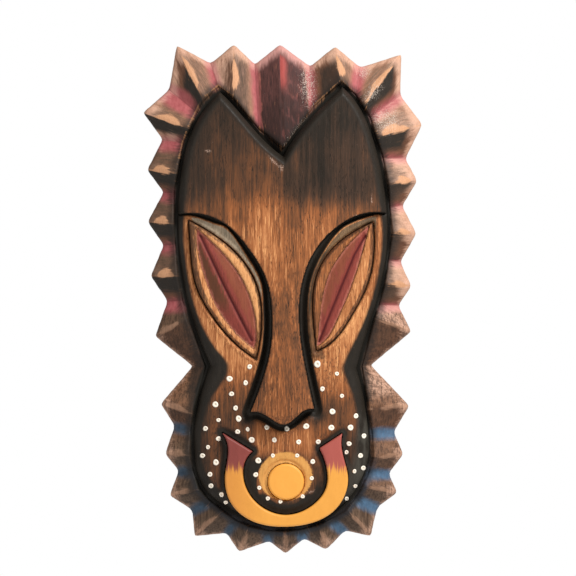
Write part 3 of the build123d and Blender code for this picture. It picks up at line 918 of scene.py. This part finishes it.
def face_wood(name):
    p = Paint(name)
    colour, streak, fine, relief = grained(p, p.mask("tone"))
    blotch = p.noise(4, 4, 6, 4, 0.6)
    left_lid = p.mix(blotch, (112, 100, 80), (198, 186, 162))
    right_lid = p.mix(blotch, (48, 42, 31), (104, 91, 69))
    grey = p.mix(p.step(p.axis("X"), -5, 5), left_lid, right_lid)
    grey = p.mix(p.step(fine, 0.52, 0.38, 0.45), grey, (84, 70, 54))
    dabs = p.times(p.step(p.noise(2.2, 2.2, 3.2, 4, 0.7), 0.53, 0.62), p.mask("mottle", 0.75))
    colour = p.layers(
        colour, (p.step(p.ragged(p.mask("lid"), blotch, 0.6), 0.35, 0.75, 0.85), grey),
        (dabs, (92, 60, 40)))
    colour = sooted(p, cuts_and_shade(p, colour, 0.8, (54, 38, 27)), streak)
    halo = p.ragged(p.mask("halo"), p.noise(1.6, 1.6, 1.6, 4, 0.7), 1.3)
    sprayed = p.mix(p.noise(1.4, 1.4, 9, 4, 0.6), (186, 126, 62), (232, 172, 96))
    colour = p.mix(p.step(halo, 0.25, 0.75, 0.95), colour, sprayed)
    colour = chalked(p, colour, (178, 148, 130))
    return p.finish(colour, streak, 0.62, 0.46, relief, 0.2, specular=0.16)


def eye_wood(name):
    p = Paint(name)
    colour, streak, fine, relief = grained(p, p.mask("tone"))
    blotch = p.noise(3, 3, 9, 4, 0.65)
    bare = p.step(p.ragged(p.mask("noseward"), blotch, 9.0), 4.0, 8.0, 0.8)
    bare = p.times(bare, p.step(p.noise(9, 9, 30), 0.28, 0.5))
    scraped = p.step(p.ragged(p.mask("noseward"), p.noise(2.2, 2.2, 14, 4, 0.65), 16.0), -2.0, -6.0, 0.88)
    scraped = p.times(scraped, p.step(p.axis("X"), 5, -5))
    scraped = p.times(scraped, p.step(p.axis("Z"), MIDDLE_Z - 22, MIDDLE_Z + 4))
    red = p.layers(
        p.mix(p.noise(3, 3, 18, 4), (112, 49, 42), (146, 68, 57)),
        (p.step(fine, 0.50, 0.36, 0.5), (86, 40, 34)),
        (bare, p.mix(streak, (98, 50, 34), (150, 84, 58))),
        (scraped, p.mix(streak, (56, 36, 22), (102, 64, 40))),
        (p.step(p.ragged(p.mask("lens"), blotch, 4.0), -2.6, -0.4, 0.65),
         p.mix(p.step(fine, 0.35, 0.65), (192, 122, 102), (170, 98, 82))))
    lens = p.step(p.ragged(p.mask("lens"), p.noise(1.5, 1.5, 8), 2.2), 0.35, -0.35)
    colour = p.layers(
        cuts_and_shade(p, colour, 0.85, (66, 44, 31)), (lens, red),
        (p.step(p.mask("slit"), 0.9, -0.3), (78, 24, 24)))
    colour = sooted(p, colour, streak)
    return p.finish(colour, streak, 0.62, 0.48, relief, 0.18, specular=0.16)


def ring_paint(name):
    p = Paint(name)
    level = p.ragged(p.sum(p.axis("Z"), -MIDDLE_Z), p.noise(1, 1, 60, 3, 0.7), 42)
    # painted shade on the ring's left side, and painted light on the right end of its red
    shaded_side = p.step(p.axis("X"), -10, -60, 0.5)
    red = p.layers(
        p.mix(p.noise(3, 3, 14, 4), (130, 58, 50), (152, 72, 64)),
        (p.step(p.axis("X"), 20, 50, 0.6), (182, 92, 80)), (shaded_side, (104, 48, 42)))
    orange = p.mix(p.noise(9, 9, 9, 4), (222, 152, 62), (232, 162, 70))
    orange = p.mix(shaded_side, orange, (186, 112, 48))
    stroke = p.noise(0.8, 0.8, 18)
    return p.finish(p.mix(p.step(level, -171, -164), orange, red), stroke, 0.56, 0.42,
                    p.sum(p.times(stroke, 0.6), p.noise(3, 3, 3)), 0.12, specular=0.35)


def disc_paint(name):
    p = Paint(name)
    colour = p.mix(p.noise(9, 9, 9, 4), (230, 156, 62), (238, 166, 70))
    return p.finish(colour, p.noise(2, 2, 2, 2), 0.57, 0.43, p.noise(1.2, 1.2, 2.4), 0.1)


def bead_paint(name):
    p = Paint(name)
    colour = p.mix(p.noise(1.6, 1.6, 1.6), (255, 246, 230), (238, 224, 204))
    colour = p.mix(p.mask("dimple", 0.7), colour, (186, 168, 144))
    return p.finish(colour, p.noise(2, 2, 2, 2), 0.5, 0.38, p.noise(0.8, 0.8, 0.8), 0.06)


def metal(name, one, two, rough):
    p = Paint(name)
    brushed = p.noise(0.3, 0.3, 6)
    colour = p.mix(p.noise(2, 2, 2), one, two)
    return p.finish(colour, brushed, rough + 0.1, rough - 0.08, brushed, 0.02, metallic=1.0)


class CollarPaint(Paint):
    """Paint brushed along the rays."""

    def __init__(self, name):
        super().__init__(name)
        self.lit, self.low, self.right = self.mask("lit_side"), self.mask("low"), self.mask("right")
        # brush space: across the ray, along it, and the ray's number
        across = self.times(self.mask("ridge"), self.mask("turn"))
        own = self.node("CombineXYZ", X=across, Y=self.mask("rim"), Z=self.mask("ray", 50.0)).outputs[0]
        self.brush = self.noise(1.5, 12, 5, 4, 0.65, own)
        self.patch = self.noise(7, 12, 5, where=own)
        self.fine = self.noise(0.7, 0.7, 16, 3, 0.6)
        self.hatch = self.ragged(self.swing(self.brush, 14.0), self.patch, 9.0)

    def brushed(self, field, size):
        """A field in mm whose edge follows the brush."""
        return self.sum(self.mask(field), self.times(self.hatch, size))

    def over(self, colour, field, paint, soft, rough, strength):
        """Lays a paint where its field is positive."""
        edge = self.step(self.brushed(field, rough), -soft, soft)
        return self.mix(self.times(edge, strength), colour, paint)


def lit_and_shaded_wood(p):
    ash = p.mix(p.patch, (64, 52, 42), (122, 101, 83))
    shaded = p.layers(
        p.mix(p.patch, (76, 50, 37), (118, 78, 56)),
        (p.times(p.low, 0.7), p.mix(p.patch, (68, 45, 32), (112, 76, 54))),
        (p.mask("ashen", 0.75), ash))
    lit = p.layers(
        p.mix(p.patch, (132, 94, 72), (196, 146, 118)),
        (p.times(p.low, 0.9), p.mix(p.patch, (86, 58, 40), (148, 103, 73))),
        (p.mask("ashen", 0.75), ash),
        (p.mask("dark", 0.6), p.mix(p.patch, (58, 47, 40), (110, 86, 70))))
    # painted light and shade: facets turned to the light get the lit wood, the others get the shaded wood
    share = p.sum(0.6, p.times(p.sum(p.right, p.low), 0.35), clamp=True)
    return p.mix(p.times(p.lit, share), shaded, lit)


def soot_and_cracks(p, colour):
    specks = p.times(p.step(p.fine, 0.52, 0.36), p.sum(0.25, p.times(p.low, 0.25)))
    cracks = p.times(p.step(p.noise(2, 2, 34, 4, 0.65), 0.53, 0.41, 0.6), p.low)
    colour = p.layers(colour, (specks, (52, 38, 30)), (cracks, (48, 32, 23)))
    share = p.times(p.lit, p.sum(0.75, p.times(p.sum(p.low, p.right), -0.35)))
    share = p.times(p.step(p.brush, 0.30, 0.66), share)
    colour = p.over(colour, "strokes", p.mix(p.fine, (54, 46, 37), (92, 76, 60)), 3.0, 0.5, share)
    coal = p.mix(p.fine, (32, 28, 24), (52, 44, 37))
    coal = p.mix(p.times(p.right, 0.7), coal, p.mix(p.fine, (58, 46, 37), (88, 70, 56)))
    share = p.times(p.mask("weight"), p.step(p.brush, 0.25, 0.45, 1.0, 0.8))
    return p.over(colour, "black", coal, 3.6, 0.7, share)


def valleys(p, colour, pale_share):
    # painted shade: the pink is darker on facets turned from the light and along the valley's crease
    pink = p.layers(
        p.mix(p.noise(3, 3, 5, 4), (136, 58, 62), (182, 102, 102)),
        (p.times(pale_share, 0.6), (212, 160, 146)),
        (p.sum(0.4, p.times(p.lit, -0.4)), (84, 42, 40)),
        (p.step(p.mask("valley"), 0.8, 0.0, 0.35), (104, 36, 42)))
    # the blue is darker on the left, and painted shade darkens it near the face's foot
    blue = p.layers(
        p.mix(p.noise(3, 3, 5, 4), (44, 68, 90), (88, 124, 154)),
        (p.step(p.axis("X"), 20, -50, 0.65), (32, 44, 52)),
        (p.step(p.mask("foot"), 8.0, 0.0, 0.8), (36, 46, 54)))
    colour = p.over(colour, "valley_paint", pink, 4.6, 0.6, p.mask("pink", 0.95))
    colour = p.over(colour, "valley_paint", blue, 3.8, 0.4, p.mask("blue", 0.9))
    return p.mix(p.mask("shade", 0.75), colour, p.mix(p.brush, (34, 44, 54), (52, 70, 90)))


def middle_ray(p, colour):
    """The ray between the horns is maroon, with a painted red highlight along its ridge and painted lighter
    patches on its lit facet.
    """
    from_rim = p.brushed("rim", 1.0)
    # painted highlight: red along the ridge, on the lit facet only
    painted_highlight = p.times(p.step(p.brushed("ridge", 0.7), 12.0, 3.0), p.step(from_rim, 7, 15, 0.85))
    painted_highlight = p.times(painted_highlight, p.times(p.lit, p.step(from_rim, 50, 28)))
    # the lighter patches on the lit facet are painted light
    maroon = p.layers(
        p.mix(p.step(p.brush, 0.3, 0.7), (52, 33, 31), (88, 53, 48)),
        (p.step(p.mask("rim"), 34, 66, 0.6), (40, 28, 24)),
        (p.times(p.step(p.patch, 0.5, 0.75, 0.45), p.lit), (140, 80, 74)),
        (painted_highlight, p.mix(p.brush, (140, 62, 58), (190, 88, 80))),
        (p.step(from_rim, 13, 1, 0.85), p.mix(p.patch, (186, 118, 112), (214, 168, 156))))
    beside_pink = p.step(p.brushed("valley_paint", 0.6), 1.2, -1.6)
    return p.mix(p.times(p.mask("middle"), beside_pink), colour, maroon)


def leaves(p, colour):
    """Bare pale wood cut along the ridges."""
    bare = p.ramp(p.sum(p.times(p.fine, 0.6), 0.2), (0.2, (150, 102, 74)), (0.5, (190, 140, 104)),
                  (0.9, (216, 168, 130)))
    bare = p.mix(p.times(p.low, 0.7), bare, p.mix(p.fine, (150, 112, 90), (204, 162, 136)))
    keep = p.sum(1.0, p.times(p.low, -0.62))
    return p.over(colour, "bare", bare, 1.3, 0.62, p.sum(keep, p.mask("middle", -1.0), clamp=True))


def by_the_face(p, colour):
    # painted shadow on the collar near the foot of the face pieces, and a pale line of wear on the arris
    colour = p.layers(
        colour, (p.step(p.brushed("near", 0.8), 10, 1, 0.8), (36, 31, 27)),
        (p.step(p.brushed("arris", 0.2), 0.45, 1.0, 0.55), (166, 118, 78)))
    soot = p.step(p.ragged(p.mask("outside"), p.patch, 3.0), 5.0, 2.2)
    return p.mix(soot, chalked(p, colour, (200, 184, 170)), SOOT)


def collar_paint(name):
    p = CollarPaint(name)
    # pale where tips and rims show wear, and painted light on the lit facets at the right
    pale_share = p.step(p.brushed("pale", 0.08), 0.25, 0.95)
    pale = p.mix(p.patch, (184, 138, 114), (218, 176, 150))
    colour = p.mix(p.times(pale_share, 0.85), lit_and_shaded_wood(p), pale)
    colour = valleys(p, soot_and_cracks(p, colour), pale_share)
    colour = by_the_face(p, leaves(p, middle_ray(p, colour)))
    raw = p.ramp(p.sum(p.times(p.noise(3, 3, 70, 4, 0.6), 0.7), p.times(p.fine, 0.4)),
                 (0.3, (150, 112, 78)), (0.55, (192, 150, 108)), (0.8, (214, 176, 132)))
    colour = p.mix(p.mask("behind"), colour, raw)
    relief = p.sum(p.times(p.fine, 0.8), p.times(p.brush, 0.5))
    return p.finish(colour, p.brush, 0.68, 0.5, relief, 0.2, specular=0.16)


def dress(obj, material):
    obj.data.materials.clear()
    obj.data.materials.append(material)


wood, red_eye = face_wood("stained_wood"), eye_wood("eye_wood")
LOOKS = [
    ("brow_and_nose", "brown_wood", wood),
    ("cheek_panel", "tan_wood", wood),
    ("left_eye", "red_wood", red_eye),
    ("right_eye", "red_wood", red_eye),
    ("nose_ring", "orange_wood", ring_paint("ring_paint")),
    ("mouth_disc", "orange_wood", disc_paint("disc_paint")),
    ("paint_beads", "white_paint", bead_paint("white_paint")),
    ("backing_board", "painted_collar", collar_paint("collar_paint"))]
for node, slot, material in LOOKS:
    dress(pieces[node], material)
    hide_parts(node)
    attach(pieces[node], "mask")

METALS = [
    ("hanger_ring", "ring_steel", (190, 190, 188), (160, 160, 160), 0.28),
    ("hanger_strap", "strap_steel", (178, 178, 176), (146, 146, 144), 0.38),
    ("hanger_screws", "screw_brass", (202, 166, 92), (172, 138, 74), 0.32)]
for node, slot, one, two, rough in METALS:
    dress(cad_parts[node], metal(slot, one, two, rough))


# ---- floor, light and camera
scene = bpy.context.scene
scene.view_settings.view_transform = "Standard"

pale = bpy.data.materials.new("pale_floor")
pale.use_nodes = True
fill(pale.node_tree, pale.node_tree.nodes["Principled BSDF"], Base_Color=(0.9, 0.9, 0.9, 1), Roughness=0.9,
     Emission_Color=(1, 1, 1, 1), Emission_Strength=0.35)
REACH, BELOW = 7000.0, 700.0
floor_z = cad_low.z / MM - BELOW
corners = np.array([(-1, 1), (1, 1), (1, -1), (-1, -1)]) * REACH
floor = new_object("floor", np.insert(corners, 2, floor_z, axis=1), [(0, 1, 2, 3)])
floor.data.materials.append(pale)

# the studio: soft light from all round, and a white wall behind
scene.world = bpy.data.worlds.new("studio")
scene.world.use_nodes = True
studio = scene.world.node_tree
soft = studio.nodes["Background"]
fill(studio, soft, Color=(1, 1, 1, 1), Strength=0.36)
wall = add_node(studio, "Background", Color=(1, 1, 1, 1), Strength=1.0)
either = add_node(studio, "MixShader", Fac=add_node(studio, "LightPath").outputs["Is Camera Ray"])
connect(studio, either.inputs[1], soft.outputs[0])
connect(studio, either.inputs[2], wall.outputs[0])
fill(studio, studio.nodes["World Output"], Surface=either.outputs[0])


def area_light(name, place, size, watts):
    """A round lamp aimed at the middle of the mask."""
    lamp = bpy.data.lights.new(name, "AREA")
    lamp.shape = "DISK"
    lamp.size = size
    lamp.energy = watts
    obj = bpy.data.objects.new(name, lamp)
    scene.collection.objects.link(obj)
    obj.location = place
    obj.rotation_euler = ((cad_low + cad_high) / 2 - Vector(place)).to_track_quat("-Z", "Y").to_euler()


area_light("key", (0.8, -0.85, 0.85), 0.45, 29.5)
area_light("fill", (-0.9, -1.0, 0.0), 0.9, 3)

camera_data = bpy.data.cameras.new("camera")
camera = bpy.data.objects.new("camera", camera_data)
scene.collection.objects.link(camera)
scene.camera = camera
camera_data.sensor_width = 36.0
camera_data.lens = 250.0  # far away, so that depth hardly spreads the view
FRAME_WIDTH = 0.576  # metres that the picture spans at the mask
distance_to_mask = FRAME_WIDTH * camera_data.lens / camera_data.sensor_width
camera.location = (0.004, -distance_to_mask, (MIDDLE_Z + 11) * MM)
camera.rotation_euler = (math.pi / 2, 0, 0)
